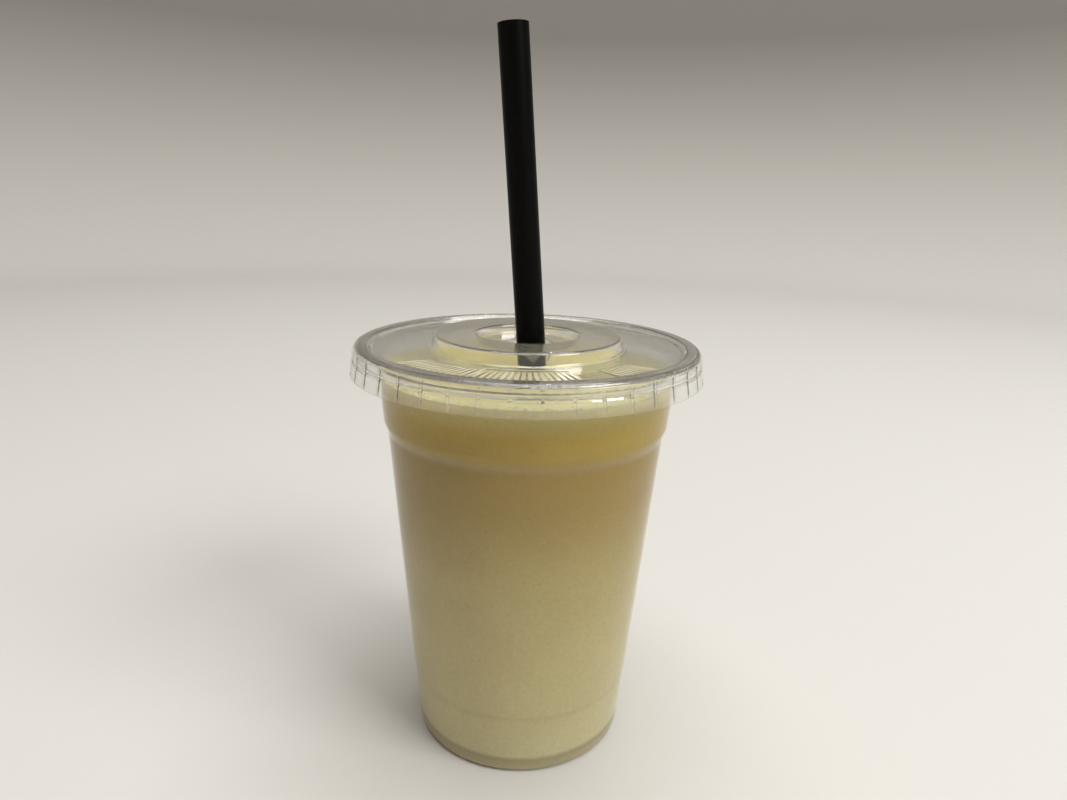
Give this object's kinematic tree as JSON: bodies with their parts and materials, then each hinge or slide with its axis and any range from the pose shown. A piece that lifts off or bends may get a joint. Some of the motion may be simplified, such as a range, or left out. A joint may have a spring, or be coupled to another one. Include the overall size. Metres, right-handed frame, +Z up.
{
  "type": "virgin banana daiquiri",
  "caption": "Pale banana-yellow blended drink in a clear tapered takeaway cup with a ribbed flat clear lid and a black straw standing through its slit.",
  "frame": {"origin": "centre of the cup's foot ring, on the plane it stands on", "axes": "+Z up along the cup's axis; the straw leans towards -X as it rises; -Y is the front"},
  "size_m": [0.1024, 0.1024, 0.2088],
  "materials": {
    "clear_plastic": "clear, polished",
    "drink": "smooth thick blended drink",
    "lid_plastic": "clear, polished",
    "straw_plastic": "satin gloss"
  },
  "bodies": {
    "root": {"cup": "clear_plastic", "drink": "drink", "lid": "lid_plastic", "straw": "straw_plastic"}
  },
  "joints": []
}
